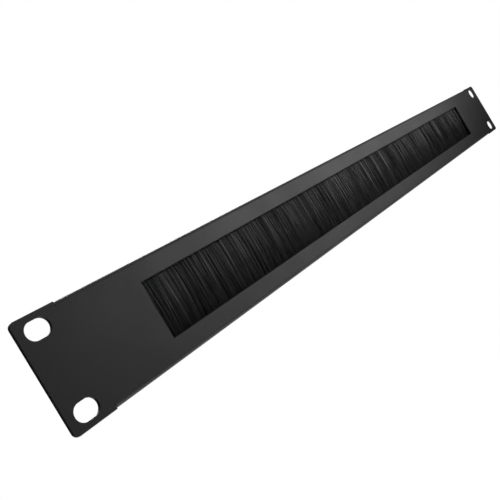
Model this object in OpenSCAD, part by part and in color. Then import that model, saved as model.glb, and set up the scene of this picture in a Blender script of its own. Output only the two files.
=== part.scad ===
// Rack brush strip panel, one rack unit high, for the front rails of a 19-inch rack.
// Cables pass through the window, and the bristles close around them.
// X runs along the panel and Z is up. The front face lies in the plane Y = 0, and everything else
// is behind it, towards +Y. The origin is the centre of the slot pattern on that face.

/* [Front panel] */
// Overall width, from ear end to ear end
panel_w = 482.6; // [480:0.1:490]
// Height of the flat ears
ear_h = 43.8; // [43.2:0.1:44.4]
// Width of each ear, from the panel's end to the folds
ear_w = 18.8; // [17:0.1:25]
// Distance that the folded middle lies inside the ears' upper and lower edges
fold_step = 0.2; // [0.1:0.05:0.8]
// Thickness of the sheet
sheet_t = 1.5; // [1:0.1:2]
// Inner radius of the folds
bend_r = 0.3; // [0.2:0.1:1.5]
// Depth of the flanges, from the front face
flange_d = 16; // [16:0.5:30]
// Length of the mitre that takes off the rear corners of the flanges
flange_mitre = 8; // [4:0.5:10]
// Width of the slit that frees each end of a flange from the ear
slit_w = 0.2; // [0.1:0.1:1]
// Corner radius of the ears
corner_r = 2.2; // [1:0.1:6]
// Width of the break on cut edges
edge_break = 0.25; // [0.1:0.05:0.4]

/* [Mounting slots] */
// Distance from each end of the panel to the middle of its slots
slot_inset = 8.75; // [7:0.05:11]
// Distance between the lower and upper slots
slot_pitch_z = 31.75; // [30:0.05:32.5]
// Length of a slot, end to end
slot_l = 10; // [8:0.1:12]
// Width of a slot
slot_w = 7.1; // [5:0.1:7.5]

/* [Window] */
// Distance from each end of the folded middle to the window
window_inset = 37.2; // [32:0.1:80]
// Height of the cable window
window_h = 25.4; // [20:0.1:26]

/* [Brush strip] */
// Distance that the strip and its holder reach past each end of the window
strip_reach = 6.7; // [2:0.1:12]
// Outer width of the strip's folded channel
channel_w = 4.4; // [4:0.1:5]
// Height of the channel, from its round back to its mouth
channel_h = 5.2; // [4.8:0.1:5.5]
// Thickness of the channel's metal
channel_t = 0.6; // [0.4:0.05:0.8]
// Width of the channel's crimped mouth
mouth_w = 2; // [1.6:0.1:2.4]
// Height of the crimped lips
crimp_h = 1.4; // [1:0.1:2]
// Diameter of the wire that the filaments are folded over
wire_d = 1.6; // [1.2:0.1:2]

/* [Bristles] */
// Distance that the tips hang below the window
tip_overlap = 1.8; // [0.5:0.1:4]
// Pitch of the tufts along the strip
tuft_pitch = 1.6; // [1.2:0.1:4]
// Shortest unsplit root of a tuft, below the channel
root_min = 2; // [1:0.5:6]
// Longest unsplit root of a tuft, below the channel
root_max = 18; // [8:0.5:22]
// Gap between the two layers of tufts
layer_gap = 0.05; // [0.02:0.01:0.1]
// Gap between neighbouring tufts at their tips
tuft_gap = 0.45; // [0.3:0.05:0.6]
// Greatest lean of a tuft, measured at its tip
tuft_lean = 0.18; // [0:0.02:0.2]
// Greatest difference in length between tufts
tip_scatter = 0.8; // [0:0.1:1.5]
// Choice of the random pattern of tufts
tuft_seed = 11; // [1:1:99]

/* [Brush holder] */
// Wall of the socket around the channel
socket_t = 0.8; // [0.6:0.1:1.2]
// Thickness of the fin under the upper flange
fin_t = 1.2; // [1:0.1:1.5]
// Distance that the fin reaches past the washers
fin_margin = 0.2; // [0:0.1:0.6]
// Height of the lips that carry the channel
lip_h = 0.45; // [0.3:0.05:0.8]

/* [Studs and nuts] */
// Number of weld studs
stud_count = 7; // [3:1:9]
// Distance from each end of the holder to the outermost studs
stud_inset = 12; // [8:1:30]
// Thread diameter of a stud
stud_d = 3; // [2.5:0.5:3]
// Length of thread that stands out below a nut
stud_tip = 1.4; // [0.5:0.1:2]
// Diameter of a stud's weld foot
foot_d = 4.5; // [4:0.1:4.8]
// Height of a stud's weld foot
foot_h = 0.7; // [0.5:0.1:1]
// Outer diameter of a washer
washer_d = 7; // [6.5:0.1:7]
// Thickness of a washer
washer_t = 0.5; // [0.4:0.1:0.8]
// Width of a nut across its flats
nut_w = 5.5; // [5:0.1:6]
// Height of a nut
nut_h = 2.4; // [2:0.1:2.6]

/* [Clearances] */
// Gap between pieces that slide together
slide_gap = 0.05; // [0.02:0.01:0.1]
// Gap around a stud's thread in its washer
washer_gap = 0.1; // [0.05:0.05:0.3]
// Gap around a stud's foot in the fin's hole
foot_gap = 0.25; // [0.1:0.05:0.3]
// Gap between a washer's rim and the holder's socket
rim_gap = 0.4; // [0.1:0.1:0.6]

/* [Hidden] */
$fn = 64;

body_w = panel_w - 2 * ear_w;            // width of the folded middle
body_h = ear_h - 2 * fold_step;          // height of the folded middle over its flanges
fold_r = bend_r + sheet_t;               // outer radius of the folds
roof_z = body_h / 2 - sheet_t;           // underside of the upper flange
slot_pitch_x = panel_w - 2 * slot_inset; // between the left and right slots
window_w = body_w - 2 * window_inset;    // width of the cable window
strip_l = window_w + 2 * strip_reach;    // length of the strip and its holder

inner_w = channel_w - 2 * channel_t;     // inside the channel's legs
channel_top = roof_z - fin_t - slide_gap;
channel_mouth = channel_top - channel_h;
back_z = channel_top - channel_w / 2;    // centre of the channel's round back
crimp_z = channel_mouth + crimp_h;

socket_w = channel_w + 2 * (slide_gap + socket_t);
strip_y = sheet_t + socket_w / 2;        // middle of the brush in depth
socket_y = sheet_t + socket_w;           // rear of the socket
fin_l = rim_gap + washer_d + fin_margin; // length of the fin behind the socket
lip_gap = mouth_w + channel_t;           // way between the lips, which carry the channel's edges
holder_z = channel_mouth - lip_h;        // underside of the holder's lips

layer_t = (mouth_w - layer_gap) / 2 - 2 * slide_gap;
tuft_root = channel_mouth + crimp_h / 3; // tufts start inside the mouth
tuft_tip = -window_h / 2 - tip_overlap;

stud_y = socket_y + rim_gap + washer_d / 2;
stud_pitch = (strip_l - 2 * stud_inset) / (stud_count - 1);
stud_l = fin_t + washer_t + nut_h + stud_tip;
washer_z = roof_z - fin_t - washer_t;    // underside of a washer
nut_z = washer_z - nut_h;                // underside of a nut

studs = [1 : stud_count];

// --- Helpers ---

// Runs a profile drawn in (Y, Z) along X, centred
module along_x(length) {
    rotate([90, 0, 90]) linear_extrude(height = length, center = true) children();
}

// Gives a profile drawn in (X, Z) a thickness towards +Y
module along_y(depth) {
    translate([0, depth, 0]) rotate([90, 0, 0]) linear_extrude(height = depth) children();
}

// Stands its children on the front face, and mirrors them on to the back of the sheet
module both_faces() {
    children();
    translate([0, sheet_t, 0]) mirror([0, 1, 0]) children();
}

// Places its children in line with stud i
module at_stud(i, z) {
    translate([(i - (stud_count + 1) / 2) * stud_pitch, stud_y, z]) children();
}

// --- Front panel: one folded sheet ---

// Profile that starts at depth y0 with two rounded front corners, and ends flat at the flanges' edges
module fold_outline(h, y0, r, y1) {
    translate([y0 + r, -h / 2]) square([y1 - y0 - r, h]);
    translate([y0, r - h / 2]) square([2 * r, h - 2 * r]);
    for (s = [-1, 1]) translate([y0 + r, s * (h / 2 - r)]) circle(r);
}

// Folded middle: the web and its two flanges
module folded_middle() {
    along_x(body_w) difference() {
        fold_outline(body_h, 0, fold_r, flange_d);
        fold_outline(body_h - 2 * sheet_t, sheet_t, bend_r, flange_d + 1);
    }
}

// Flat plate with round corners, and every outer edge broken
module broken_plate(w, h, r, t, c) {
    edge = [[0, c], [c, 0], [t - c, 0], [t, c]];
    along_x(w - 2 * r) polygon([
        for (p = edge) [p.x, p.y - h / 2],
        for (p = edge) [t - p.x, h / 2 - p.y]
    ]);
    linear_extrude(height = h - 2 * r, center = true) polygon([
        for (p = edge) [w / 2 - p.y, p.x],
        for (p = edge) [p.y - w / 2, t - p.x]
    ]);
    for (sx = [-1, 1], sz = [-1, 1]) translate([sx * (w / 2 - r), 0, sz * (h / 2 - r)])
        rotate([-90, 0, 0]) rotate_extrude()
            polygon([[0, 0], [r - c, 0], [r, c], [r, t - c], [r - c, t], [0, t]]);
}

// Both ears, up to the ends of the folded middle
module ears() {
    intersection() {
        broken_plate(panel_w, ear_h, corner_r, sheet_t, edge_break);
        for (s = [-1, 1]) translate([s * (body_w + ear_w) / 2, 0, 0])
            cube([ear_w, 4 * sheet_t, ear_h], center = true);
    }
}

// Slits beside the ears, as deep as each fold's outer radius
module fold_slits() {
    for (sx = [-1, 1], sz = [-1, 1])
        translate([sx * (body_w - slit_w) / 2, flange_d / 2, sz * body_h / 2])
            cube([slit_w, flange_d + 2, 2 * fold_r], center = true);
}

// Mitres at the rear corners of the flanges, clear of a screw head in the slots beside them
module flange_mitres() {
    m = flange_mitre;
    for (sx = [-1, 1]) translate([sx * body_w / 2, flange_d, 0])
        linear_extrude(height = body_h + 2, center = true)
            polygon([[sx, -m - 1], [sx, 1], [-sx * (m + 1), 1]]);
}

// Rectangular cut through the sheet, with both its rims broken
module window_cut() {
    c = edge_break;
    translate([0, sheet_t / 2, 0]) cube([window_w, 2 * sheet_t, window_h], center = true);
    both_faces() intersection() {
        along_x(window_w + 4 * c) polygon([
            [-c, window_h / 2 + 2 * c], [c, window_h / 2], [c, -window_h / 2], [-c, -window_h / 2 - 2 * c]
        ]);
        linear_extrude(height = window_h + 4 * c, center = true) polygon([
            [window_w / 2 + 2 * c, -c], [window_w / 2, c], [-window_w / 2, c], [-window_w / 2 - 2 * c, -c]
        ]);
    }
}

// One oval slot through the sheet, with both its rims broken
module slot_cut() {
    c = edge_break;
    r = slot_w / 2;
    flat = slot_l - slot_w;
    translate([0, sheet_t / 2, 0]) cube([flat, 2 * sheet_t, slot_w], center = true);
    for (s = [-1, 1]) translate([s * flat / 2, -sheet_t / 2, 0])
        rotate([-90, 0, 0]) cylinder(h = 2 * sheet_t, r = r);
    both_faces() {
        along_x(flat) polygon([[-c, r + 2 * c], [c, r], [c, -r], [-c, -r - 2 * c]]);
        for (s = [-1, 1]) translate([s * flat / 2, -c, 0])
            rotate([-90, 0, 0]) cylinder(h = 2 * c, r1 = r + 2 * c, r2 = r);
    }
}

module front_panel() {
    color("#2b2b2d") difference() {
        union() {
            folded_middle();
            ears();
        }
        fold_slits();
        flange_mitres();
        window_cut();
        for (sx = [-1, 1], sz = [-1, 1])
            translate([sx * slot_pitch_x / 2, 0, sz * slot_pitch_z / 2]) slot_cut();
    }
}

// --- Brush holder: an extruded socket with a fin that the nuts pull up to the flange ---

// Outline of the channel grown by gap, open below: the seat that the socket gives it
module channel_seat(gap) {
    w = channel_w / 2 + gap;
    m = mouth_w / 2 + channel_t + gap;
    translate([0, back_z]) circle(w);
    polygon([[-w, back_z], [-w, crimp_z], [-m, channel_mouth], [m, channel_mouth], [w, crimp_z], [w, back_z]]);
}

module holder_profile() {
    difference() {
        union() {
            // the front corner is round, to clear the inside of the fold
            translate([-socket_w / 2, holder_z]) square([socket_w, roof_z - holder_z - fold_r]);
            translate([fold_r - socket_w / 2, holder_z]) square([socket_w - fold_r, roof_z - holder_z]);
            translate([fold_r - socket_w / 2, roof_z - fold_r]) circle(fold_r);
            translate([0, roof_z - fin_t]) square([socket_w / 2 + fin_l, fin_t]);
        }
        channel_seat(slide_gap);
        translate([-lip_gap / 2, holder_z - lip_h]) square([lip_gap, 3 * lip_h]);
    }
}

module brush_holder() {
    color("#b9bbbe") difference() {
        translate([0, strip_y, 0]) along_x(strip_l) holder_profile();
        for (i = studs) at_stud(i, roof_z - 2 * fin_t) cylinder(h = 3 * fin_t, r = foot_d / 2 + foot_gap);
    }
}

// --- Brush strip: filaments folded over a wire and crimped into a channel ---

// Space inside the channel less gap, down to its mouth
module channel_bore(gap) {
    w = inner_w / 2 - gap;
    m = mouth_w / 2 - gap;
    translate([0, back_z]) circle(w);
    polygon([
        [-w, back_z], [-w, crimp_z], [-m, channel_mouth], [-m, channel_mouth - 1],
        [m, channel_mouth - 1], [m, channel_mouth], [w, crimp_z], [w, back_z]
    ]);
}

module strip_channel() {
    color("#8f9396") translate([0, strip_y, 0]) along_x(strip_l) difference() {
        channel_seat(0);
        channel_bore(0);
    }
}

module core_wire() {
    color("#a7a9ab") translate([0, strip_y, back_z]) rotate([0, 90, 0])
        cylinder(h = strip_l, d = wire_d, center = true);
}

// Flat layer of tufts: splits of random height part it into leaning blades of random length
module tuft_layer(seed) {
    count = round(strip_l / tuft_pitch);
    pitch = strip_l / count;
    split = rands(channel_mouth - root_max, channel_mouth - root_min, count, seed);
    lean = rands(-tuft_lean, tuft_lean, count, seed + 100);
    tip = rands(0, tip_scatter, 2 * count, seed + 200);
    end = strip_l / 2;
    along_y(layer_t) polygon([
        [-end, tuft_root],
        for (i = [0 : count - 1], k = [0 : 2]) [
            [i * pitch - end, split[i]],
            [i * pitch - end + tuft_gap / 2 + lean[i], tuft_tip + tip[2 * i]],
            [(i + 1) * pitch - end - tuft_gap / 2 + lean[i], tuft_tip + tip[2 * i + 1]]
        ][k],
        [end, tuft_root]
    ]);
}

module bristles() {
    color("#1c1c1d") translate([0, strip_y, 0]) {
        along_x(strip_l) difference() {
            channel_bore(slide_gap);
            translate([0, back_z]) circle(wire_d / 2 + slide_gap);
        }
        translate([0, -layer_gap / 2 - layer_t, 0]) tuft_layer(tuft_seed);
        translate([0, layer_gap / 2, 0]) tuft_layer(tuft_seed + 1);
    }
}

// --- Fasteners ---

module weld_stud(i) {
    color("#b08a5a") {
        at_stud(i, roof_z - stud_l) cylinder(h = stud_l, d = stud_d);
        at_stud(i, roof_z - foot_h) cylinder(h = foot_h, d = foot_d);
    }
}

module washer(i) {
    color("#c3c5c8") at_stud(i, washer_z) difference() {
        cylinder(h = washer_t, d = washer_d);
        translate([0, 0, -washer_t]) cylinder(h = 3 * washer_t, d = stud_d + 2 * washer_gap);
    }
}

// Hexagon whose corners are turned down on both faces
module nut(i) {
    corner = nut_w / 2 / cos(30);
    c = (corner - nut_w / 2) * tan(30);
    color("#c9cbce") at_stud(i, nut_z) difference() {
        intersection() {
            cylinder(h = nut_h, r = corner, $fn = 6);
            rotate_extrude() polygon([
                [0, 0], [nut_w / 2, 0], [corner, c], [corner, nut_h - c], [nut_w / 2, nut_h], [0, nut_h]
            ]);
        }
        translate([0, 0, -1]) cylinder(h = nut_h + 2, d = stud_d + 2 * slide_gap);
    }
}

front_panel();
brush_holder();
strip_channel();
core_wire();
bristles();
for (i = studs) weld_stud(i);
for (i = studs) washer(i);
for (i = studs) nut(i);
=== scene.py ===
# Rack brush strip panel, one rack unit: finishes, filaments, studio and camera.
# X runs along the panel, Z is up, and the front face lies in the plane Y = 0, facing -Y. Metres.
import math

import bmesh
import bpy
from mathutils import Matrix, Vector


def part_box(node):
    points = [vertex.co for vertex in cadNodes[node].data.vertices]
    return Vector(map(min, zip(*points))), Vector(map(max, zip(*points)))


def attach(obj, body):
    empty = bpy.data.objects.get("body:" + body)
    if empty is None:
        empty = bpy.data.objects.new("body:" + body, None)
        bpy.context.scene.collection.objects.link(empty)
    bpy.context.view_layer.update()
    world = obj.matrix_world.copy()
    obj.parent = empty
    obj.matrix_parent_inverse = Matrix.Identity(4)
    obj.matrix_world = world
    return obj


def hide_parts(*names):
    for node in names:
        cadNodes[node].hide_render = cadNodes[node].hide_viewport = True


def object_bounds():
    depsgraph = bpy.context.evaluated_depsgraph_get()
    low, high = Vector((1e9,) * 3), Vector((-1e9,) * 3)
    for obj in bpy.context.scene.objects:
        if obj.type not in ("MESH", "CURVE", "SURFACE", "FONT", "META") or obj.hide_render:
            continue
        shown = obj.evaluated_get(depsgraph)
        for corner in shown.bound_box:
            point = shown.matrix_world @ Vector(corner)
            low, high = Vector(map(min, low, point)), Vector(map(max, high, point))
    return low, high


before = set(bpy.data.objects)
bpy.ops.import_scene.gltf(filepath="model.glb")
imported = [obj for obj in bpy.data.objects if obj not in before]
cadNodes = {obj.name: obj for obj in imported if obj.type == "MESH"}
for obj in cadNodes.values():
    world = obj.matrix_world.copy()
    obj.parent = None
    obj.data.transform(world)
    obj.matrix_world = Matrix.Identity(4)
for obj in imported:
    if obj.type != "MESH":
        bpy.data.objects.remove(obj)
cadLow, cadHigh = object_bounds()
mm = 0.001
print("frame loaded:", len(cadNodes), "nodes")


def addNode(tree, kind, **settings):
    node = tree.nodes.new(kind)
    for key, value in settings.items():
        setattr(node, key, value)
    return node


# puts a value or another node's output into a socket
def feed(tree, socket, term):
    if isinstance(term, bpy.types.NodeSocket):
        tree.links.new(term, socket)
    else:
        socket.default_value = term


def calc(tree, operation, *terms):
    node = addNode(tree, "ShaderNodeMath", operation=operation)
    for socket, term in zip(node.inputs, terms):
        feed(tree, socket, term)
    return node.outputs[0]


def total(tree, *terms):
    result = terms[0]
    for term in terms[1:]:
        result = calc(tree, "ADD", result, term)
    return result


# value carried from the range low..high to start..end, with soft ends if smooth
def remap(tree, value, low, high, start, end, smooth=True):
    node = addNode(tree, "ShaderNodeMapRange", interpolation_type="SMOOTHSTEP" if smooth else "LINEAR")
    names = ("Value", "From Min", "From Max", "To Min", "To Max")
    for name, term in zip(names, (value, low, high, start, end)):
        feed(tree, node.inputs[name], term)
    return node.outputs["Result"]


def xyz(tree, x, y, z):
    node = addNode(tree, "ShaderNodeCombineXYZ")
    for socket, term in zip(node.inputs, (x, y, z)):
        feed(tree, socket, term)
    return node.outputs[0]


def split(tree, vector):
    node = addNode(tree, "ShaderNodeSeparateXYZ")
    tree.links.new(vector, node.inputs[0])
    return node.outputs


def startMaterial(name, roughness, metallic=0.0, specular=0.5):
    material = bpy.data.materials.new(name)
    material.use_nodes = True
    tree = material.node_tree
    shader = tree.nodes["Principled BSDF"]
    shader.inputs["Roughness"].default_value = roughness
    shader.inputs["Metallic"].default_value = metallic
    shader.inputs["Specular IOR Level"].default_value = specular
    return material, tree, shader


# noise on Object coordinates, one cell about size metres across, drawn out along an axis by stretch
def grain(tree, size, detail=2.0, roughness=0.5, stretch=(1.0, 1.0, 1.0)):
    coords = addNode(tree, "ShaderNodeTexCoord")
    mapping = addNode(tree, "ShaderNodeMapping")
    mapping.inputs["Scale"].default_value = [1 / s for s in stretch]
    noise = addNode(tree, "ShaderNodeTexNoise")
    noise.inputs["Scale"].default_value = 1 / size
    noise.inputs["Detail"].default_value = detail
    noise.inputs["Roughness"].default_value = roughness
    tree.links.new(coords.outputs["Object"], mapping.inputs["Vector"])
    tree.links.new(mapping.outputs["Vector"], noise.inputs["Vector"])
    return noise.outputs["Fac"]


# two patterns added up, the first with its share and the second with the rest
def weigh(tree, first, second, share):
    firstPart = calc(tree, "MULTIPLY", first, share)
    return calc(tree, "ADD", firstPart, calc(tree, "MULTIPLY", second, 1 - share))


def blendColours(tree, factor, first, second):
    node = addNode(tree, "ShaderNodeMix", data_type="RGBA")
    feed(tree, node.inputs["Factor"], factor)
    feed(tree, node.inputs[6], first)
    feed(tree, node.inputs[7], second)
    return node.outputs[2]


colourBand = (0.35, 0.65)      # part of a noise's range that takes a colour from dark to light
roughnessBand = (0.3, 0.7)     # and a roughness from its least to its most


# base colour from a look's dark to its light, following a noise
def tint(tree, shader, noise, look):
    share = remap(tree, noise, *colourBand, 0.0, 1.0)
    colour = blendColours(tree, share, look["dark"], look["light"])
    tree.links.new(colour, shader.inputs["Base Color"])


# roughness that drifts about a middle value, following a pattern
def roughen(tree, shader, pattern, middle, drift, band=roughnessBand):
    finish = remap(tree, pattern, *band, middle + drift[0], middle + drift[1])
    tree.links.new(finish, shader.inputs["Roughness"])


# bump of a given height in metres, laid over an earlier one if given
def bump(tree, height, depth, before=None):
    node = addNode(tree, "ShaderNodeBump")
    node.inputs["Strength"].default_value = 1.0
    node.inputs["Distance"].default_value = depth
    tree.links.new(height, node.inputs["Height"])
    if before is not None:
        tree.links.new(before, node.inputs["Normal"])
    return node.outputs["Normal"]


powderLook = {
    "dark": (0.0052, 0.0052, 0.0054, 1.0),
    "light": (0.0068, 0.0067, 0.0072, 1.0),
    "roughness": 0.56,
    "roughnessDrift": (-0.03, 0.03),
    "specular": 0.48,
    "peelSize": 0.9 * mm,      # cells of the orange peel
    "peelDepth": 0.010 * mm,
    "pebbleSize": 0.28 * mm,   # fine pebbling on top of it
    "pebbleDepth": 0.004 * mm,
    "cloudSize": 26 * mm,      # slow drift of colour over the face
    "cloudShare": 0.7,         # of the colour's change, the pebbling has the rest
}


def makePowderCoat(look):
    material, tree, shader = startMaterial("black_powder_coat", look["roughness"], specular=look["specular"])
    cloud = grain(tree, look["cloudSize"], detail=3.0)
    pebbles = grain(tree, look["pebbleSize"])
    tint(tree, shader, weigh(tree, cloud, pebbles, look["cloudShare"]), look)
    roughen(tree, shader, cloud, look["roughness"], look["roughnessDrift"])
    peel = bump(tree, grain(tree, look["peelSize"], detail=1.0), look["peelDepth"])
    tree.links.new(bump(tree, pebbles, look["pebbleDepth"], peel), shader.inputs["Normal"])
    return material


filamentLook = {
    "dark": (0.0030, 0.0030, 0.0031, 1.0),
    "light": (0.1350, 0.1350, 0.1375, 1.0),
    "darkRoughness": 0.82,
    "lightRoughness": 0.49,
    "lightTone": 0.3,          # tone from which a filament has the light ones' roughness
    "specular": 0.24,
}


# each filament's tone comes with its mesh, from 0, dark, to 1, light; it carries a painted shade towards the
# tip and a painted glint on a few filaments
def makeFilamentNylon(look):
    roughness = look["lightRoughness"]
    material, tree, shader = startMaterial("black_filament", roughness, specular=look["specular"])
    tone = addNode(tree, "ShaderNodeAttribute", attribute_name="strand").outputs["Fac"]
    colour = blendColours(tree, tone, look["dark"], look["light"])
    tree.links.new(colour, shader.inputs["Base Color"])
    finish = remap(tree, tone, 0.0, look["lightTone"], look["darkRoughness"], roughness, smooth=False)
    tree.links.new(finish, shader.inputs["Roughness"])
    return material


aluminiumLook = {
    "dark": (0.50, 0.51, 0.52, 1.0),
    "light": (0.66, 0.67, 0.68, 1.0),
    "roughness": 0.36,
    "roughnessDrift": (-0.08, 0.10),
    "lineSize": 0.16 * mm,     # die lines along the extrusion
    "lineStretch": 240.0,
    "lineDepth": 0.004 * mm,
    "lineShare": 0.5,          # of the colour's change, the dull patches have the rest
    "bloomSize": 9 * mm,       # dull patches
}


def makeAluminium(look):
    material, tree, shader = startMaterial("mill_aluminium", look["roughness"], metallic=1.0)
    lines = grain(tree, look["lineSize"], roughness=0.6, stretch=(look["lineStretch"], 1.0, 1.0))
    bloom = grain(tree, look["bloomSize"], detail=4.0, roughness=0.6)
    tint(tree, shader, weigh(tree, lines, bloom, look["lineShare"]), look)
    roughen(tree, shader, bloom, look["roughness"], look["roughnessDrift"])
    tree.links.new(bump(tree, lines, look["lineDepth"]), shader.inputs["Normal"])
    return material


galvanisedLook = {
    "dark": (0.36, 0.37, 0.38, 1.0),
    "light": (0.56, 0.57, 0.58, 1.0),
    "roughness": 0.44,
    "roughnessDrift": (-0.08, 0.08),
    "spangleSize": 2.2 * mm,
    "scratchSize": 0.2 * mm,
    "scratchStretch": 30.0,
    "scratchDepth": 0.003 * mm,
}


def makeGalvanised(look):
    material, tree, shader = startMaterial("galvanised_strip", look["roughness"], metallic=1.0)
    coords = addNode(tree, "ShaderNodeTexCoord")
    cells = addNode(tree, "ShaderNodeTexVoronoi", feature="F1")
    cells.inputs["Scale"].default_value = 1 / look["spangleSize"]
    tree.links.new(coords.outputs["Object"], cells.inputs["Vector"])
    spangle = split(tree, cells.outputs["Color"])[0]
    tree.links.new(blendColours(tree, spangle, look["dark"], look["light"]), shader.inputs["Base Color"])
    roughen(tree, shader, spangle, look["roughness"], look["roughnessDrift"], band=(0.0, 1.0))
    scratch = grain(tree, look["scratchSize"], stretch=(look["scratchStretch"], 1.0, 1.0))
    tree.links.new(bump(tree, scratch, look["scratchDepth"]), shader.inputs["Normal"])
    return material


# the plated and drawn metals share one build: colour drift, roughness drift and fine scratches
platedLooks = {
    "bright_wire": {"dark": (0.48, 0.48, 0.48, 1.0), "light": (0.62, 0.62, 0.61, 1.0), "roughness": 0.26,
                    "driftSize": 4 * mm, "scratchSize": 0.12 * mm, "stretch": (60.0, 1.0, 1.0)},
    "coppered_steel": {"dark": (0.42, 0.25, 0.16, 1.0), "light": (0.66, 0.42, 0.27, 1.0), "roughness": 0.34,
                       "driftSize": 1.2 * mm, "scratchSize": 0.15 * mm, "stretch": (1.0, 1.0, 1.0)},
    "zinc_plate": {"dark": (0.52, 0.54, 0.56, 1.0), "light": (0.72, 0.73, 0.75, 1.0), "roughness": 0.28,
                   "driftSize": 1.6 * mm, "scratchSize": 0.10 * mm, "stretch": (1.0, 1.0, 3.0)},
}
platedDrift = (-0.06, 0.10)    # of the roughness
scratchDepth = 0.002 * mm


def makePlated(name, look):
    material, tree, shader = startMaterial(name, look["roughness"], metallic=1.0)
    drift = grain(tree, look["driftSize"], detail=3.0, roughness=0.6)
    tint(tree, shader, drift, look)
    roughen(tree, shader, drift, look["roughness"], platedDrift)
    scratch = grain(tree, look["scratchSize"], stretch=look["stretch"])
    tree.links.new(bump(tree, scratch, scratchDepth), shader.inputs["Normal"])
    return material


materials = {name: makePlated(name, look) for name, look in platedLooks.items()}
materials["black_powder_coat"] = makePowderCoat(powderLook)
materials["black_filament"] = makeFilamentNylon(filamentLook)
materials["mill_aluminium"] = makeAluminium(aluminiumLook)
materials["galvanised_strip"] = makeGalvanised(galvanisedLook)
print("materials made:", len(materials))


# object for a finished mesh, which stands for a CAD node
def place(name, mesh, slot, replaced):
    piece = bpy.data.objects.new(name, mesh)
    bpy.context.scene.collection.objects.link(piece)
    mesh.materials.clear()
    mesh.materials.append(materials[slot])
    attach(piece, "root")
    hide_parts(replaced)
    return piece


# the panel has its folds and corners from the CAD, so only the other nodes get soft edges
nodeLook = {
    "mergeWithin": 0.002 * mm,
    "sharpAngle": 34.0,        # edges that turn more than this stay sharp, in degrees
    "softAngle": 40.0,         # edges that turn more than this are softened
    "softSteps": 2,
    "flatWeight": 90,          # how far large faces rule the shading
    "holderEdge": 0.06 * mm,
    "channelEdge": 0.04 * mm,
    "wireEdge": 0.04 * mm,
    "washerEdge": 0.06 * mm,
    "nutEdge": 0.06 * mm,
}


# copy of a node's mesh with its doubles merged, shaded smooth
def mergedCopy(node, name, look):
    mesh = cadNodes[node].data.copy()
    mesh.name = name
    work = bmesh.new()
    work.from_mesh(mesh)
    bmesh.ops.remove_doubles(work, verts=work.verts, dist=look["mergeWithin"])
    work.to_mesh(mesh)
    work.free()
    if "custom_normal" in mesh.attributes:
        mesh.attributes.remove(mesh.attributes["custom_normal"])
    mesh.shade_smooth()
    return mesh


def finishNode(node, name, slot, look, edge=0.0):
    mesh = mergedCopy(node, name, look)
    mesh.set_sharp_from_angle(angle=math.radians(look["sharpAngle"]))
    piece = place(name, mesh, slot, node)
    if edge:
        soften = piece.modifiers.new("edges", "BEVEL")
        soften.width = edge
        soften.segments = look["softSteps"]
        soften.limit_method = "ANGLE"
        soften.angle_limit = math.radians(look["softAngle"])
        soften.harden_normals = True
    weighted = piece.modifiers.new("normals", "WEIGHTED_NORMAL")
    weighted.keep_sharp = True
    weighted.weight = look["flatWeight"]


finishNode("front_panel", "front_panel_coated", "black_powder_coat", nodeLook)
finishNode("brush_holder", "brush_holder_extruded", "mill_aluminium", nodeLook, nodeLook["holderEdge"])
finishNode("strip_channel", "strip_channel_crimped", "galvanised_strip", nodeLook, nodeLook["channelEdge"])
finishNode("core_wire", "core_wire_drawn", "bright_wire", nodeLook, nodeLook["wireEdge"])
studCount = len([name for name in cadNodes if name.startswith("weld_stud_")])
for number in range(1, studCount + 1):
    finishNode(f"washer_{number}", f"washer_{number}_plated", "zinc_plate", nodeLook, nodeLook["washerEdge"])
    finishNode(f"nut_{number}", f"nut_{number}_plated", "zinc_plate", nodeLook, nodeLook["nutEdge"])
print("panel, holder, strip and fasteners finished")


studShape = {
    "radius": 1.5 * mm,
    "pitch": 0.5 * mm,
    "threadDepth": 0.27 * mm,
    "flankSlope": 2.6,         # at 2 the crests are sharp, and above it they are flat
    "tipChamfer": 0.45 * mm,
    "footHeight": 0.7 * mm,
    "turnSteps": 24,           # points round the thread
    "pitchSteps": 6,           # rings for each turn
    "sharpAngle": 50.0,
}


# radius of the thread at a depth below the foot's top and a share of a turn, chamfered at the tip
def threadRadius(depth, turnShare, reach, shape):
    phase = (depth / shape["pitch"] + turnShare) % 1.0
    flank = min(1.0, shape["flankSlope"] * abs(phase - 0.5))
    room = min(1.0, (depth - shape["footHeight"]) / shape["pitch"])   # it deepens over its first turn
    radius = shape["radius"] - shape["threadDepth"] * (1.0 - flank) * room
    return min(radius, shape["radius"] - shape["tipChamfer"] + (reach - depth))


# rings of points from the foot's top down to the tip, closed at both ends
def makeStud(number, shape):
    low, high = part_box(f"weld_stud_{number}")
    axis = ((low + high) / 2).xy.to_3d()
    footRadius = (high.x - low.x) / 2
    reach = high.z - low.z
    steps = shape["turnSteps"]
    threaded = reach - shape["footHeight"]
    rings = max(2, round(threaded / shape["pitch"] * shape["pitchSteps"]))
    levels = [(depth, [footRadius] * steps) for depth in (0.0, shape["footHeight"])]
    for ring in range(rings + 1):
        depth = shape["footHeight"] + threaded * ring / rings
        levels.append((depth, [threadRadius(depth, step / steps, reach, shape) for step in range(steps)]))
    work = bmesh.new()
    loops = []
    for depth, radii in levels:
        loop = []
        for step, radius in enumerate(radii):
            turn = 2 * math.pi * step / steps
            spoke = Vector((radius * math.cos(turn), radius * math.sin(turn), high.z - depth))
            loop.append(work.verts.new(axis + spoke))
        loops.append(loop)
    for upper, lower in zip(loops, loops[1:]):
        for step in range(steps):
            after = (step + 1) % steps
            work.faces.new((upper[step], lower[step], lower[after], upper[after]))
    work.faces.new(loops[0])
    work.faces.new(reversed(loops[-1]))
    bmesh.ops.recalc_face_normals(work, faces=work.faces)
    mesh = bpy.data.meshes.new(f"weld_stud_{number}_threaded")
    work.to_mesh(mesh)
    work.free()
    mesh.shade_smooth()
    mesh.set_sharp_from_angle(angle=math.radians(shape["sharpAngle"]))
    place(mesh.name, mesh, "coppered_steel", f"weld_stud_{number}")


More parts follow.
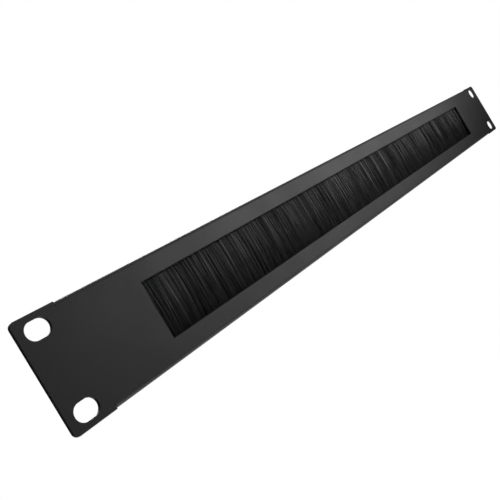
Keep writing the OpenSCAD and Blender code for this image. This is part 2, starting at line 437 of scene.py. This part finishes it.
for number in range(1, studCount + 1):
    makeStud(number, studShape)
print("studs threaded:", studCount)


channelLow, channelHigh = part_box("strip_channel")
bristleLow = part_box("bristles")[0]
stripMiddle = (channelLow.y + channelHigh.y) / 2

# places along a filament are shares of its length, from 0 at the root to 1 at the tip
brush = {
    "filaments": (4500, 4500, 9800),   # in each layer, from the front
    "lengths": (7, 7, 3),              # straight lengths in each filament
    "rootSpacing": (0.126, 0.59),      # slope and curve that make the first ones short
    "tipSpacing": 1.4,                 # and how much longer than even ones the last ones are
    "radii": (0.12 * mm, 0.12 * mm, 0.155 * mm),
    "taperFrom": 0.6,                  # a filament thins a little from here
    "tipThickness": 0.85,
    "lengthScatter": 0.3 * mm,
    "rootAbove": 0.6 * mm,             # roots start this far inside the channel's mouth
    "mouthHalf": 0.93 * mm,            # and spread this far either side of the middle
    "looseness": (0.6, 0.3, 0.1),      # how far the groups of each layer part
    "endLooseness": (1.0, 0.8, 0.0),   # and how far each leans in at the first end
    "tuftWidth": 3.2 * mm,             # neighbours gather into wisps, and wisps into tufts
    "wispWidth": 0.55 * mm,
    "groupJitter": 0.35,               # of a group's middle, in its widths
    "tuftPull": 0.12,                  # share of the way to the group's middle
    "wispPull": 0.35,
    "gatheredBy": 0.4,                 # groups have drawn together here,
    "partingFrom": 0.55,               # part again from here
    "tipPull": 0.35,                   # and keep this share of the pull at the tip
    "tuftLean": 1.6 * mm,              # sideways, at the tips
    "wispLean": 0.8 * mm,
    "ownLean": 0.6 * mm,
    "leanPower": 1.35,                 # above 1, more of the lean comes near the tip
    "endLean": 3.2 * mm,               # towards the strip's middle, at its first end
    "endReach": 14 * mm,               # where that has died away
    "flare": 1.25,                     # how much wider the brush gets below the mouth
    "flareBand": (0.015, 0.085),       # and where it does
    "bulge": 0.65 * mm,                # bow towards the front, halfway down
    "backLean": 0.55 * mm,             # of the tips
    "tuftTilt": 0.5 * mm,              # towards the front or back, halfway down
    "wispTilt": 0.9 * mm,
    "ownTilt": 0.3 * mm,
    "tiltRise": 1.8,                   # tilts grow from the root
    "tiltFall": 1.6,                   # and mostly die away at the tip
    "nearest": 1.75 * mm,              # depth behind the front face that no filament passes
    "nearestBlend": 0.3 * mm,
    "ownTwist": 0.5,                   # of a filament's flat side, in radians
    "wispTwist": 0.35,
    "evenBand": (0.35, 0.7),           # twists and tones even out here
    "tipVariety": 0.10,                # share of them that is left at the tip
    "rootTone": 0.2,                   # from 0, dark, to 1, light
    # painted shade: the tone falls to this at the tips, for the shade low on the brush
    "paintedShadeTipTone": 0.055,
    # band where that painted shade darkens the filaments
    "paintedShadeBand": (0.15, 0.65),          # filaments darken here
    "ownShade": 0.6,                   # light and dark filaments run in wisps and tufts too
    "wispShade": 0.45,
    "tuftShade": 0.2,
    "shadeLimit": 0.7,                 # the sum of these three is cut off at this,
    "shadeReach": 0.2,                 # where it adds or takes away this much tone
    # painted glint: lighter tone on a few filaments, for hairs that catch the light
    "paintedGlint": 0.8,                      # tone added to the few filaments that shine out
    "paintedGlintPower": 5,                   # higher is fewer
    "seed": 12,
}

# inputs of the filament tree by kind; every layer sets them all
treeInputs = {
    "Float": ("Strip length", "Strip middle", "Root height", "Tip height", "Front depth", "Back depth",
              "Filament radius", "Length scatter", "Tuft width", "Wisp width", "Tuft pull", "Wisp pull",
              "Tuft lean", "Wisp lean", "Own lean", "End lean", "End reach", "Flare", "Bulge", "Back lean",
              "Tuft tilt", "Wisp tilt", "Own tilt", "Nearest", "Own twist", "Wisp twist"),
    "Int": ("Filaments", "Lengths", "Seed"),
    "Material": ("Finish",),
}

# each series of random numbers has a number of its own, added to the layer's seed
randomSeries = {
    "rootX": 1, "rootY": 2,
    "tuftPlace": 10, "tuftLean": 11, "tuftTilt": 12,
    "wispPlace": 20, "wispLean": 21, "wispTilt": 22,
    "ownLean": 31, "ownTilt": 32, "ownLength": 33,
    "ownTwist": 41, "wispTwist": 42,
    "ownShade": 51, "wispShade": 52, "tuftShade": 53, "paintedGlint": 54,
}


# random number between low and high, one for each filament or group that pick numbers
def chance(tree, given, low, high, pick, series):
    node = addNode(tree, "FunctionNodeRandomValue", data_type="FLOAT")
    feed(tree, node.inputs[2], low)
    feed(tree, node.inputs[3], high)
    feed(tree, node.inputs["ID"], pick)
    feed(tree, node.inputs["Seed"], calc(tree, "ADD", given["Seed"], float(randomSeries[series])))
    return node.outputs[1]


def spread(tree, given, amount, pick, series):
    return calc(tree, "MULTIPLY", amount, chance(tree, given, -1.0, 1.0, pick, series))


def store(tree, geometry, name, kind, value):
    node = addNode(tree, "GeometryNodeStoreNamedAttribute", data_type=kind, domain="POINT")
    tree.links.new(geometry, node.inputs["Geometry"])
    node.inputs["Name"].default_value = name
    tree.links.new(value, node.inputs["Value"])
    return node.outputs[0]


def recall(tree, name, kind):
    node = addNode(tree, "GeometryNodeInputNamedAttribute", data_type=kind)
    node.inputs["Name"].default_value = name
    return node.outputs["Attribute"]


# points for the roots, evenly spaced along the strip and shaken in both directions
def scatterRoots(tree, given):
    index = addNode(tree, "GeometryNodeInputIndex").outputs[0]
    shaken = calc(tree, "ADD", index, chance(tree, given, 0.0, 1.0, index, "rootX"))
    share = calc(tree, "DIVIDE", shaken, given["Filaments"])
    rootX = calc(tree, "MULTIPLY", calc(tree, "SUBTRACT", share, 0.5), given["Strip length"])
    rootY = chance(tree, given, given["Front depth"], given["Back depth"], index, "rootY")
    points = addNode(tree, "GeometryNodePoints")
    tree.links.new(given["Filaments"], points.inputs["Count"])
    feed(tree, points.inputs["Position"], xyz(tree, rootX, rootY, given["Root height"]))
    return points.outputs[0]


# one filament of unit size: three sides with crisp edges, shaded smoothly from one length to the next
def unitFilament(tree, given):
    stem = addNode(tree, "GeometryNodeMeshCylinder", fill_type="NGON")
    stem.inputs["Vertices"].default_value = 3
    tree.links.new(given["Lengths"], stem.inputs["Side Segments"])
    stem.inputs["Radius"].default_value = 1.0
    stem.inputs["Depth"].default_value = 1.0
    ends = addNode(tree, "GeometryNodeInputMeshEdgeVertices")
    apart = addNode(tree, "ShaderNodeVectorMath", operation="SUBTRACT")
    tree.links.new(ends.outputs["Position 1"], apart.inputs[0])
    tree.links.new(ends.outputs["Position 2"], apart.inputs[1])
    level = 0.01                       # an edge that rises less than this lies in a ring
    rise = calc(tree, "ABSOLUTE", split(tree, apart.outputs[0])[2])
    crease = addNode(tree, "GeometryNodeSetShadeSmooth", domain="EDGE")
    tree.links.new(stem.outputs["Mesh"], crease.inputs["Geometry"])
    tree.links.new(calc(tree, "GREATER_THAN", rise, level), crease.inputs["Selection"])
    crease.inputs["Shade Smooth"].default_value = False
    return crease.outputs["Geometry"]


# a unit filament on every root; its points remember the root and the filament's number
def standFilaments(tree, given):
    position = addNode(tree, "GeometryNodeInputPosition").outputs[0]
    index = addNode(tree, "GeometryNodeInputIndex").outputs[0]
    points = store(tree, scatterRoots(tree, given), "root", "FLOAT_VECTOR", position)
    points = store(tree, points, "number", "INT", index)
    stand = addNode(tree, "GeometryNodeInstanceOnPoints")
    tree.links.new(points, stand.inputs["Points"])
    tree.links.new(unitFilament(tree, given), stand.inputs["Instance"])
    real = addNode(tree, "GeometryNodeRealizeInstances")
    tree.links.new(stand.outputs[0], real.inputs[0])
    return real.outputs[0]


# number of the group that a filament belongs to, and the place along the strip that it gathers about
def group(tree, given, rootX, width, jitter, series):
    perSeed = 0.377                    # makes each layer part at other places
    positive = 1000.0                  # keeps the numbers above zero
    shift = calc(tree, "MULTIPLY_ADD", given["Seed"], perSeed, positive)
    cell = calc(tree, "FLOOR", calc(tree, "ADD", calc(tree, "DIVIDE", rootX, width), shift))
    offset = calc(tree, "ADD", chance(tree, given, -jitter, jitter, cell, series), 0.5)
    middle = calc(tree, "SUBTRACT", calc(tree, "ADD", cell, offset), shift)
    return cell, calc(tree, "MULTIPLY", middle, width)


# what a point knows of its filament: root, place along and around it, and the groups it belongs to
def readFilament(tree, given, shape):
    root = recall(tree, "root", "FLOAT_VECTOR")
    rootX = split(tree, root)[0]
    local = addNode(tree, "ShaderNodeVectorMath", operation="SUBTRACT")
    tree.links.new(addNode(tree, "GeometryNodeInputPosition").outputs[0], local.inputs[0])
    tree.links.new(root, local.inputs[1])
    around = split(tree, local.outputs[0])
    even = calc(tree, "SUBTRACT", 0.5, around[2])   # 0 at the root, 1 at the tip, in equal lengths
    slope, curve = shape["rootSpacing"]
    nearRoot = calc(tree, "MULTIPLY", even, calc(tree, "ADD", calc(tree, "MULTIPLY", even, curve), slope))
    nearTip = calc(tree, "MULTIPLY_ADD", even, shape["tipSpacing"], 1 - shape["tipSpacing"])
    along = calc(tree, "MAXIMUM", nearTip, nearRoot)
    tuft, tuftX = group(tree, given, rootX, given["Tuft width"], shape["groupJitter"], "tuftPlace")
    wisp, wispX = group(tree, given, rootX, given["Wisp width"], shape["groupJitter"], "wispPlace")
    return {
        "number": recall(tree, "number", "INT"),
        "root": split(tree, root),
        "around": around,
        "along": along,
        "tuft": tuft,
        "tuftX": tuftX,
        "wisp": wisp,
        "wispX": wispX,
        "variety": remap(tree, along, *shape["evenBand"], 1.0, shape["tipVariety"]),
    }


# X of a filament's middle line: drawn to its wisp and tuft, and leaning along the strip
def lineX(tree, given, strand, shape):
    rootX, along = strand["root"][0], strand["along"]
    gather = calc(tree, "MULTIPLY", remap(tree, along, 0.0, shape["gatheredBy"], 0.0, 1.0),
                  remap(tree, along, shape["partingFrom"], 1.0, 1.0, shape["tipPull"]))

    def pulled(centre, strength):
        reach = calc(tree, "MULTIPLY", strength, gather)
        return calc(tree, "MULTIPLY", calc(tree, "SUBTRACT", centre, rootX), reach)

    fromEnd = calc(tree, "ADD", rootX, calc(tree, "DIVIDE", given["Strip length"], 2.0))
    nearEnd = remap(tree, fromEnd, 0.0, given["End reach"], 1.0, 0.0)
    lean = total(tree, spread(tree, given, given["Tuft lean"], strand["tuft"], "tuftLean"),
                 spread(tree, given, given["Wisp lean"], strand["wisp"], "wispLean"),
                 spread(tree, given, given["Own lean"], strand["number"], "ownLean"),
                 calc(tree, "MULTIPLY", given["End lean"], nearEnd))
    return total(tree, rootX, pulled(strand["tuftX"], given["Tuft pull"]),
                 pulled(strand["wispX"], given["Wisp pull"]),
                 calc(tree, "MULTIPLY", lean, calc(tree, "POWER", along, shape["leanPower"])))


# Y of it: flared below the mouth, bowed to the front, tilted, and kept behind the panel
def lineY(tree, given, strand, shape):
    rootY, along = strand["root"][1], strand["along"]
    flared = calc(tree, "MULTIPLY", given["Flare"], remap(tree, along, *shape["flareBand"], 0.0, 1.0))
    offMiddle = calc(tree, "SUBTRACT", rootY, given["Strip middle"])
    tilt = total(tree, spread(tree, given, given["Tuft tilt"], strand["tuft"], "tuftTilt"),
                 spread(tree, given, given["Wisp tilt"], strand["wisp"], "wispTilt"),
                 spread(tree, given, given["Own tilt"], strand["number"], "ownTilt"))
    swing = calc(tree, "MULTIPLY_ADD", along, -shape["tiltFall"], shape["tiltRise"])
    bow = calc(tree, "MULTIPLY", calc(tree, "MULTIPLY", along, calc(tree, "SUBTRACT", 1.0, along)), 4.0)
    bulge = calc(tree, "MULTIPLY", given["Bulge"], bow)
    y = total(tree, rootY, calc(tree, "MULTIPLY", offMiddle, flared),
              calc(tree, "MULTIPLY", tilt, calc(tree, "MULTIPLY", along, swing)),
              calc(tree, "MULTIPLY", given["Back lean"], along), calc(tree, "MULTIPLY", bulge, -1.0))
    return calc(tree, "SMOOTH_MAX", y, given["Nearest"], shape["nearestBlend"])


# Z of it: straight down, each filament a little shorter than the longest
def lineZ(tree, given, strand):
    scatter = chance(tree, given, -1.0, 0.0, strand["number"], "ownLength")
    reach = total(tree, calc(tree, "SUBTRACT", given["Root height"], given["Tip height"]),
                  calc(tree, "MULTIPLY", given["Length scatter"], scatter))
    return calc(tree, "SUBTRACT", strand["root"][2], calc(tree, "MULTIPLY", reach, strand["along"]))


# X and Y from the middle line out to the point: one flat side faces the front, give or take its twist
def fromLine(tree, given, strand, shape):
    taper = remap(tree, strand["along"], shape["taperFrom"], 1.0, 1.0, shape["tipThickness"])
    thick = calc(tree, "MULTIPLY", given["Filament radius"], taper)
    twist = calc(tree, "ADD", spread(tree, given, given["Own twist"], strand["number"], "ownTwist"),
                 spread(tree, given, given["Wisp twist"], strand["wisp"], "wispTwist"))
    turn = calc(tree, "MULTIPLY_ADD", twist, strand["variety"], math.pi / 2)
    cosine = calc(tree, "COSINE", turn)
    sine = calc(tree, "SINE", turn)
    aroundX, aroundY = strand["around"][0], strand["around"][1]
    across = calc(tree, "SUBTRACT", calc(tree, "MULTIPLY", aroundX, cosine),
                  calc(tree, "MULTIPLY", aroundY, sine))
    inward = calc(tree, "ADD", calc(tree, "MULTIPLY", aroundX, sine),
                  calc(tree, "MULTIPLY", aroundY, cosine))
    return calc(tree, "MULTIPLY", across, thick), calc(tree, "MULTIPLY", inward, thick)


# tone of a point: light and dark filaments at the root, darker by painted shade and more even towards the
# tip, with a painted glint on a few
def toneOf(tree, given, strand, shape):
    number, limit, reach = strand["number"], shape["shadeLimit"], shape["shadeReach"]
    shade = total(tree, spread(tree, given, shape["ownShade"], number, "ownShade"),
                  spread(tree, given, shape["wispShade"], strand["wisp"], "wispShade"),
                  spread(tree, given, shape["tuftShade"], strand["tuft"], "tuftShade"))
    shade = remap(tree, shade, -limit, limit, -reach, reach, smooth=False)
    # painted glint: a few filaments get a lighter tone, as if they caught the light
    paintedGlint = calc(tree, "POWER", chance(tree, given, 0.0, 1.0, number, "paintedGlint"), shape["paintedGlintPower"])
    shade = calc(tree, "MULTIPLY_ADD", paintedGlint, shape["paintedGlint"], shade)
    # painted shade: the middle tone darkens from the root to the tip
    middle = remap(tree, strand["along"], *shape["paintedShadeBand"], shape["rootTone"], shape["paintedShadeTipTone"])
    return calc(tree, "MULTIPLY_ADD", shade, strand["variety"], middle)


def buildFilamentTree(shape):
    tree = bpy.data.node_groups.new("filament_layer", "GeometryNodeTree")
    for side in ("INPUT", "OUTPUT"):
        tree.interface.new_socket(name="Geometry", in_out=side, socket_type="NodeSocketGeometry")
    for kind, names in treeInputs.items():
        for name in names:
            tree.interface.new_socket(name=name, in_out="INPUT", socket_type="NodeSocket" + kind)
    given = addNode(tree, "NodeGroupInput").outputs
    standing = standFilaments(tree, given)
    strand = readFilament(tree, given, shape)
    toned = store(tree, standing, "strand", "FLOAT", toneOf(tree, given, strand, shape))
    across, inward = fromLine(tree, given, strand, shape)
    x = calc(tree, "ADD", lineX(tree, given, strand, shape), across)
    y = calc(tree, "ADD", lineY(tree, given, strand, shape), inward)
    move = addNode(tree, "GeometryNodeSetPosition")
    tree.links.new(toned, move.inputs["Geometry"])
    tree.links.new(xyz(tree, x, y, lineZ(tree, given, strand)), move.inputs["Position"])
    flow = move.outputs[0]
    for name in ("root", "number", "UVMap"):
        drop = addNode(tree, "GeometryNodeRemoveAttribute")
        tree.links.new(flow, drop.inputs["Geometry"])
        drop.inputs["Name"].default_value = name
        flow = drop.outputs[0]
    finish = addNode(tree, "GeometryNodeSetMaterial")
    tree.links.new(flow, finish.inputs["Geometry"])
    tree.links.new(given["Finish"], finish.inputs["Material"])
    tree.links.new(finish.outputs[0], addNode(tree, "NodeGroupOutput").inputs[0])
    return tree


# runs the tree on an empty mesh and keeps the plain mesh that comes out
def growLayer(tree, name, values):
    carrier = bpy.data.objects.new(name + "_carrier", bpy.data.meshes.new(name + "_carrier"))
    bpy.context.scene.collection.objects.link(carrier)
    modifier = carrier.modifiers.new("filaments", "NODES")
    modifier.node_group = tree
    sockets = {item.name: item.identifier for item in tree.interface.items_tree if item.in_out == "INPUT"}
    for key, value in values.items():
        modifier[sockets[key]] = value
    depsgraph = bpy.context.evaluated_depsgraph_get()
    mesh = bpy.data.meshes.new_from_object(carrier.evaluated_get(depsgraph), depsgraph=depsgraph)
    mesh.name = name
    carrier.modifiers.remove(modifier)
    bpy.data.objects.remove(carrier)
    return mesh


filamentTree = buildFilamentTree(brush)
layerNames = ("filaments_front", "filaments_middle", "filaments_back")
layerDepth = 2 * brush["mouthHalf"] / len(layerNames)
layerSeeds = 100                       # between one layer's seed and the next
for layer, (layerName, loose) in enumerate(zip(layerNames, brush["looseness"])):
    front = stripMiddle - brush["mouthHalf"] + layer * layerDepth
    layerMesh = growLayer(filamentTree, layerName, {
        "Strip length": channelHigh.x - channelLow.x - 2 * brush["radii"][layer],
        "Strip middle": stripMiddle,
        "Root height": channelLow.z + brush["rootAbove"],
        "Tip height": bristleLow.z,
        "Front depth": front,
        "Back depth": front + layerDepth,
        "Filament radius": brush["radii"][layer],
        "Length scatter": brush["lengthScatter"],
        "Tuft width": brush["tuftWidth"],
        "Wisp width": brush["wispWidth"],
        "Tuft pull": brush["tuftPull"] * loose,
        "Wisp pull": brush["wispPull"] * loose,
        "Tuft lean": brush["tuftLean"] * loose,
        "Wisp lean": brush["wispLean"] * loose,
        "Own lean": brush["ownLean"],
        "End lean": brush["endLean"] * brush["endLooseness"][layer],
        "End reach": brush["endReach"],
        "Flare": brush["flare"],
        "Bulge": brush["bulge"],
        "Back lean": brush["backLean"],
        "Tuft tilt": brush["tuftTilt"] * loose,
        "Wisp tilt": brush["wispTilt"] * loose,
        "Own tilt": brush["ownTilt"],
        "Nearest": brush["nearest"],
        "Own twist": brush["ownTwist"],
        "Wisp twist": brush["wispTwist"],
        "Filaments": brush["filaments"][layer],
        "Lengths": brush["lengths"][layer],
        "Seed": brush["seed"] + layerSeeds * layer,
        "Finish": materials["black_filament"],
    })
    place(layerName, layerMesh, "black_filament", "bristles")
    print(layerName, "grown:", len(layerMesh.polygons), "faces")


# polished things see a room that is dim in front and bright behind; an edge is where a part fades in
studio = {
    "floorDrop": 500 * mm,               # floor below the panel
    "floorRadius": 1.1,
    "floorSides": 96,
    "floorColour": (0.86, 0.86, 0.85, 1.0),
    "floorRoughness": 0.9,
    "floorSpecular": 0.1,
    "floorGlow": 0.70,                   # what the eye sees on top of the lamps' light
    "floorMirrored": 0.40,               # and what polished things see,
    "floorEdge": (-0.45, -0.05),         # from this X on the floor
    "roomFill": 0.35,                    # light from all round
    "roomFront": 0.05,
    "roomLeft": 0.008,
    "roomRight": 0.6,                    # behind the panel only
    "roomBack": 1.0,                     # overhead, behind the panel, and for the eye all round
    "backEdge": (-0.05, 0.25),           # Y of the direction looked in
    "overheadEdge": (0.25, 0.55),        # Z
    "overheadLeftEdge": (-0.35, 0.05),   # X, in these three
    "rightEdge": (-0.1, 0.4),
    "frontLeftEdge": (-0.5, 0.0),
}


def choose(tree, factor, first, second):
    node = addNode(tree, "ShaderNodeMix", data_type="FLOAT")
    feed(tree, node.inputs[0], factor)
    feed(tree, node.inputs[2], first)
    feed(tree, node.inputs[3], second)
    return node.outputs[0]


# one strength for rays from the eye, one for mirrored or refracted rays, one for all others
def byRay(tree, seen, mirrored, other):
    rays = addNode(tree, "ShaderNodeLightPath").outputs
    polished = calc(tree, "MAXIMUM", rays["Is Glossy Ray"], rays["Is Transmission Ray"])
    return choose(tree, rays["Is Camera Ray"], choose(tree, polished, other, mirrored), seen)


def makeFloor(look):
    bpy.ops.mesh.primitive_circle_add(vertices=look["floorSides"], radius=look["floorRadius"],
                                      fill_type="NGON", location=(0, 0, cadLow.z - look["floorDrop"]))
    floor = bpy.context.object
    floor.name = "studio_floor"
    material, tree, shader = startMaterial("floor_paper", look["floorRoughness"],
                                           specular=look["floorSpecular"])
    shader.inputs["Base Color"].default_value = look["floorColour"]
    shader.inputs["Emission Color"].default_value = (1, 1, 1, 1)
    side = split(tree, addNode(tree, "ShaderNodeTexCoord").outputs["Object"])[0]
    mirrored = remap(tree, side, *look["floorEdge"], 0.0, look["floorMirrored"])
    glow = byRay(tree, look["floorGlow"], mirrored, 0.0)
    tree.links.new(glow, shader.inputs["Emission Strength"])
    floor.data.materials.append(material)


def makeWorld(look):
    world = bpy.data.worlds.new("studio_room")
    bpy.context.scene.world = world
    world.use_nodes = True
    tree = world.node_tree
    sky = tree.nodes["Background"]
    direction = split(tree, addNode(tree, "ShaderNodeTexCoord").outputs["Generated"])
    behind = remap(tree, direction[1], *look["backEdge"], 0.0, 1.0)
    notLeft = remap(tree, direction[0], *look["overheadLeftEdge"], 0.0, 1.0)
    overhead = calc(tree, "MULTIPLY", notLeft, remap(tree, direction[2], *look["overheadEdge"], 0.0, 1.0))
    right = remap(tree, direction[0], *look["rightEdge"], 0.0, look["roomRight"])
    bright = calc(tree, "MULTIPLY", behind, calc(tree, "MAXIMUM", overhead, right))
    dim = remap(tree, direction[0], *look["frontLeftEdge"], look["roomLeft"], look["roomFront"])
    sweep = remap(tree, bright, 0.0, 1.0, dim, look["roomBack"], smooth=False)
    tree.links.new(byRay(tree, look["roomBack"], sweep, look["roomFill"]), sky.inputs["Strength"])
    sky.inputs["Color"].default_value = (1, 1, 1, 1)


# roll turns a lamp about its beam, in degrees
lamps = {
    "key_softbox": {"at": (0.155, -0.251, 0.116), "aim": (-0.027, 0.0, 0.378), "roll": 19.9,
                    "wide": 0.330, "high": 0.388, "watts": 1.143},
    "top_softbox": {"at": (0.10, -0.25, 1.25), "aim": (0.0, 0.0, 0.0), "roll": 0.0,
                    "wide": 1.2, "high": 0.8, "watts": 3.6},
    "back_softbox": {"at": (0.45, 1.0, 0.6), "aim": (0.0, 0.0, 0.0), "roll": 0.0,
                     "wide": 0.9, "high": 0.7, "watts": 22.0},
}


def makeLamps(table):
    for name, lamp in table.items():
        light = bpy.data.lights.new(name, "AREA")
        light.shape = "RECTANGLE"
        light.size = lamp["wide"]
        light.size_y = lamp["high"]
        light.energy = lamp["watts"]
        holder = bpy.data.objects.new(name, light)
        bpy.context.scene.collection.objects.link(holder)
        holder.location = lamp["at"]
        beam = Vector(lamp["aim"]) - Vector(lamp["at"])
        roll = Matrix.Rotation(math.radians(lamp["roll"]), 3, "Z")
        holder.rotation_euler = (beam.to_track_quat("-Z", "Y").to_matrix() @ roll).to_euler()
        holder.visible_camera = False


makeFloor(studio)
makeWorld(studio)
makeLamps(lamps)
print("studio ready")


cameraSetup = {
    "at": (-341.8 * mm, -199.5 * mm, 3.9 * mm),
    "turn": 47.884,       # degrees from +Y towards +X
    "tilt": -0.545,       # above the horizon
    "roll": 31.038,       # about the line of sight
    "lens": 45.98,        # these two in millimetres, as on a real camera
    "sensor": 36.0,
    "clipStart": 10 * mm,
}


def makeCamera(setup):
    turn, tilt, roll = (math.radians(setup[key]) for key in ("turn", "tilt", "roll"))
    ahead = Vector((math.sin(turn) * math.cos(tilt), math.cos(turn) * math.cos(tilt), math.sin(tilt)))
    side = ahead.cross(Vector((0, 0, 1))).normalized()
    up = side.cross(ahead)
    side, up = side * math.cos(roll) - up * math.sin(roll), up * math.cos(roll) + side * math.sin(roll)
    data = bpy.data.cameras.new("view")
    data.lens = setup["lens"]
    data.sensor_width = setup["sensor"]
    data.clip_start = setup["clipStart"]
    camera = bpy.data.objects.new("view", data)
    bpy.context.scene.collection.objects.link(camera)
    camera.matrix_world = Matrix.Translation(setup["at"]) @ Matrix((side, up, -ahead)).transposed().to_4x4()
    bpy.context.scene.camera = camera


makeCamera(cameraSetup)
bpy.context.scene.view_settings.view_transform = "Standard"
